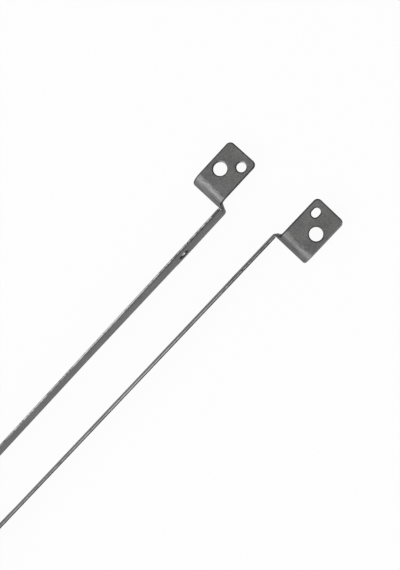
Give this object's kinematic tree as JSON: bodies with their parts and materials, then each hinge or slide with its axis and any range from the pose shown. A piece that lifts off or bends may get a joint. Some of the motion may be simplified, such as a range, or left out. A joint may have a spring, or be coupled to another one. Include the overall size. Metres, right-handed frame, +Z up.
{
  "type": "pair of laptop hinges",
  "caption": "Left and right laptop screen hinges: folded steel rails up the sides of a screen, each with a drilled fixing tab at its top and a friction knuckle with a screw-down foot below.",
  "frame": {"origin": "middle of the pair's footprint, on the surface that it lies on", "axes": "+Z up, +Y along the rails towards the fixing tabs, +X across towards the right hinge"},
  "size_m": [0.038, 0.1707, 0.0104],
  "materials": {
    "rail_steel": "satin dark grey plated sheet steel",
    "bracket_steel": "satin dark grey plated sheet steel",
    "shaft_steel": "turned steel",
    "washer_steel": "ground flat steel",
    "spring_steel": "blued spring steel",
    "brake_bronze": "bronze, lightly greased",
    "nut_zinc": "bright zinc plate"
  },
  "bodies": {
    "rails": {"right_rail": "rail_steel", "right_shaft": "shaft_steel", "right_friction_washer": "washer_steel", "right_stop_washer": "washer_steel", "right_inner_spring_washer": "spring_steel", "right_outer_spring_washer": "spring_steel", "right_end_washer": "washer_steel", "right_lock_nut": "nut_zinc", "left_rail": "rail_steel", "left_shaft": "shaft_steel", "left_friction_washer": "washer_steel", "left_stop_washer": "washer_steel", "left_inner_spring_washer": "spring_steel", "left_outer_spring_washer": "spring_steel", "left_end_washer": "washer_steel", "left_lock_nut": "nut_zinc"},
    "right_base": {"right_base_bracket": "bracket_steel", "right_brake_washer": "brake_bronze"},
    "left_base": {"left_base_bracket": "bracket_steel", "left_brake_washer": "brake_bronze"}
  },
  "joints": [
    {"name": "right_lid_hinge", "type": "hinge", "parent": "rails", "child": "right_base", "pos_m": [0.00944, -0.05477, 0.00484], "axis": [-0.9902, 0.006, 0.1392], "range_deg": [0, 180]},
    {"name": "left_lid_hinge", "type": "hinge", "parent": "rails", "child": "left_base", "pos_m": [-0.00944, -0.05937, 0.00484], "axis": [-0.9902, -0.006, -0.1392], "range_deg": [0, 180]}
  ]
}
